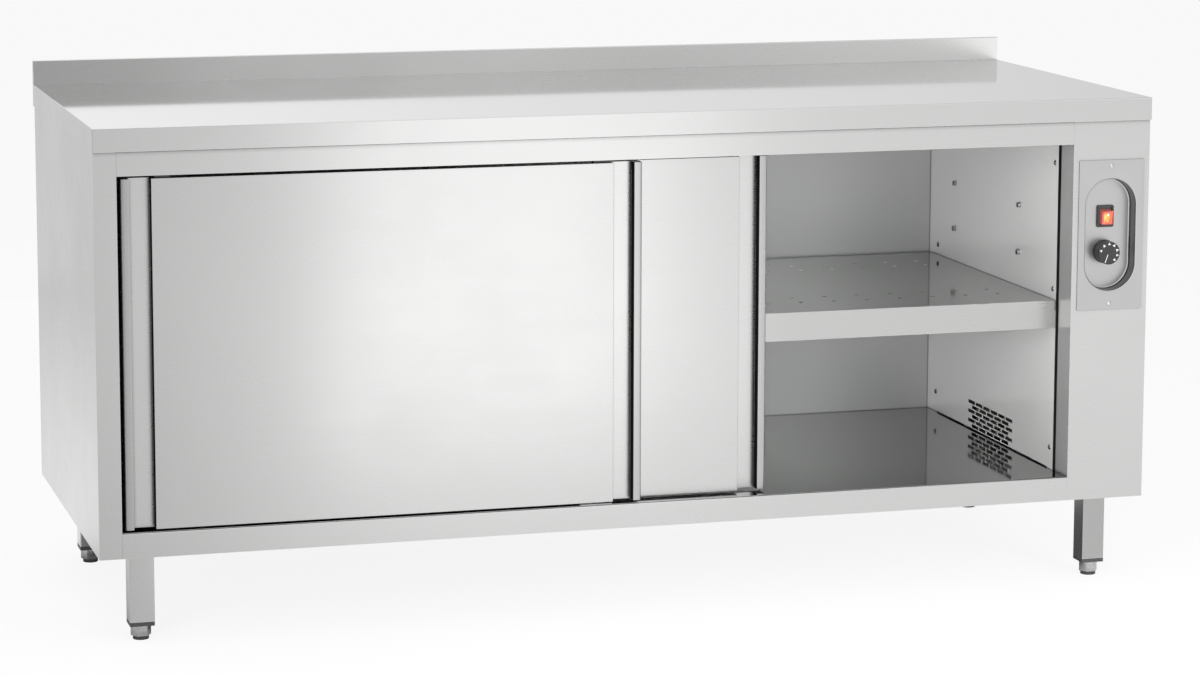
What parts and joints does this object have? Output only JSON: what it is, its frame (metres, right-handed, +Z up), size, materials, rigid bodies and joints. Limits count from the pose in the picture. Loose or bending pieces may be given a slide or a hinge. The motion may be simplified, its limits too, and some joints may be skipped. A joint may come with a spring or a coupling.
{
  "type": "plate warmer cabinet",
  "caption": "Stainless steel plate warmer cabinet with a worktop and low rear upstand, sliding doors, a middle shelf, a blower heater behind a side grille, recessed controls and square legs.",
  "frame": {"origin": "on the floor, under the middle of the worktop, which is also the middle of the whole object's bounding box seen from above", "axes": "+X to the right along the front, towards the end with the controls; +Y from the front to the back; +Z up"},
  "size_m": [1.8, 0.7, 0.877],
  "materials": {
    "satin_stainless": "satin, brushed along the length",
    "liner_stainless": "smooth bright rolled sheet",
    "zinc_steel": "zinc plated",
    "heater_metal": "plain mill finish",
    "core_board": "raw board",
    "knob_black": "moulded, matte",
    "switch_black": "moulded, semi gloss",
    "switch_red": "lit translucent red",
    "nylon": "natural nylon",
    "insert_black": "moulded, matte",
    "pad_black": "matte rubber",
    "gland_grey": "moulded, matte"
  },
  "bodies": {
    "cabinet": {"base_panel": "satin_stainless", "blower_motor": "zinc_steel", "blower_scroll": "zinc_steel", "bottom_front_rail": "satin_stainless", "cable_gland": "gland_grey", "ceiling_liner": "liner_stainless", "control_front_panel": "satin_stainless", "control_plate": "satin_stainless", "control_plate_screws": "satin_stainless", "door_centre_guide": "zinc_steel", "door_guide_blocks": "nylon", "door_track": "zinc_steel", "floor_deck": "liner_stainless", "heating_element": "heater_metal", "left_liner": "liner_stainless", "left_side_panel": "satin_stainless", "leg_bolts": "zinc_steel", "leg_front_left": "satin_stainless", "leg_front_right": "satin_stainless", "leg_inserts": "insert_black", "leg_nuts": "zinc_steel", "leg_plates": "zinc_steel", "leg_rear_left": "satin_stainless", "leg_rear_right": "satin_stainless", "liner_screws": "liner_stainless", "middle_shelf": "satin_stainless", "partition_wall": "liner_stainless", "rear_liner": "liner_stainless", "rear_panel": "satin_stainless", "right_side_panel": "satin_stainless", "shelf_stiffener": "liner_stainless", "shelf_studs": "liner_stainless", "switch_housing": "switch_black", "terminal_block": "nylon", "thermostat": "zinc_steel", "top_front_rail": "satin_stainless", "worktop": "satin_stainless", "worktop_board": "core_board"},
    "front_door": {"front_door_skin": "satin_stainless", "front_door_back": "satin_stainless", "front_door_hangers": "zinc_steel"},
    "rear_door": {"rear_door_skin": "satin_stainless", "rear_door_back": "satin_stainless", "rear_door_hangers": "zinc_steel"},
    "thermostat_knob": {"knob": "knob_black", "knob_shaft": "zinc_steel"},
    "rocker": {"switch_rocker": "switch_red"},
    "fan_wheel": {"blower_wheel": "heater_metal"},
    "front_left_roller": {"front_door_roller_left": "nylon"},
    "front_right_roller": {"front_door_roller_right": "nylon"},
    "rear_left_roller": {"rear_door_roller_left": "nylon"},
    "rear_right_roller": {"rear_door_roller_right": "nylon"},
    "front_left_foot": {"foot_front_left": "satin_stainless", "foot_pad_front_left": "pad_black"},
    "front_right_foot": {"foot_front_right": "satin_stainless", "foot_pad_front_right": "pad_black"},
    "rear_left_foot": {"foot_rear_left": "satin_stainless", "foot_pad_rear_left": "pad_black"},
    "rear_right_foot": {"foot_rear_right": "satin_stainless", "foot_pad_rear_right": "pad_black"}
  },
  "joints": [
    {"name": "front_door_slide", "type": "slide", "parent": "cabinet", "child": "front_door", "axis": [1, 0, 0], "range_m": [0, 0.754]},
    {"name": "rear_door_slide", "type": "slide", "parent": "cabinet", "child": "rear_door", "axis": [1, 0, 0], "range_m": [-0.225, 0.529]},
    {"name": "front_left_roller_spin", "type": "hinge", "parent": "front_door", "child": "front_left_roller", "pos_m": [-0.788, -0.33675, 0.7753], "axis": [0, 1, 0], "range_deg": [-10, 3935]},
    {"name": "front_right_roller_spin", "type": "hinge", "parent": "front_door", "child": "front_right_roller", "pos_m": [-0.068, -0.33675, 0.7753], "axis": [0, 1, 0], "range_deg": [-10, 3935]},
    {"name": "rear_left_roller_spin", "type": "hinge", "parent": "rear_door", "child": "rear_left_roller", "pos_m": [-0.563, -0.30875, 0.7753], "axis": [0, 1, 0], "range_deg": [-1180, 2765]},
    {"name": "rear_right_roller_spin", "type": "hinge", "parent": "rear_door", "child": "rear_right_roller", "pos_m": [0.157, -0.30875, 0.7753], "axis": [0, 1, 0], "range_deg": [-1180, 2765]},
    {"name": "knob_turn", "type": "hinge", "parent": "cabinet", "child": "thermostat_knob", "pos_m": [0.8295, -0.334, 0.57], "axis": [0, 1, 0], "range_deg": [0, 270]},
    {"name": "rocker_tilt", "type": "hinge", "parent": "cabinet", "child": "rocker", "pos_m": [0.8295, -0.3182, 0.631], "axis": [-1, 0, 0], "range_deg": [0, 14]},
    {"name": "fan_spin", "type": "hinge", "parent": "cabinet", "child": "fan_wheel", "pos_m": [0.812, 0, 0.2135], "axis": [0, 1, 0], "continuous": true},
    {"name": "front_left_foot_height", "type": "slide", "parent": "cabinet", "child": "front_left_foot", "axis": [0, 0, -1], "range_m": [0, 0.025]},
    {"name": "front_right_foot_height", "type": "slide", "parent": "cabinet", "child": "front_right_foot", "axis": [0, 0, -1], "range_m": [0, 0.025]},
    {"name": "rear_left_foot_height", "type": "slide", "parent": "cabinet", "child": "rear_left_foot", "axis": [0, 0, -1], "range_m": [0, 0.025]},
    {"name": "rear_right_foot_height", "type": "slide", "parent": "cabinet", "child": "rear_right_foot", "axis": [0, 0, -1], "range_m": [0, 0.025]}
  ],
  "couplings": [
    {"joint": "front_left_roller_spin", "follows": "front_door_slide", "rad_per_m": 90.909},
    {"joint": "front_right_roller_spin", "follows": "front_door_slide", "rad_per_m": 90.909},
    {"joint": "rear_left_roller_spin", "follows": "rear_door_slide", "rad_per_m": 90.909},
    {"joint": "rear_right_roller_spin", "follows": "rear_door_slide", "rad_per_m": 90.909}
  ]
}
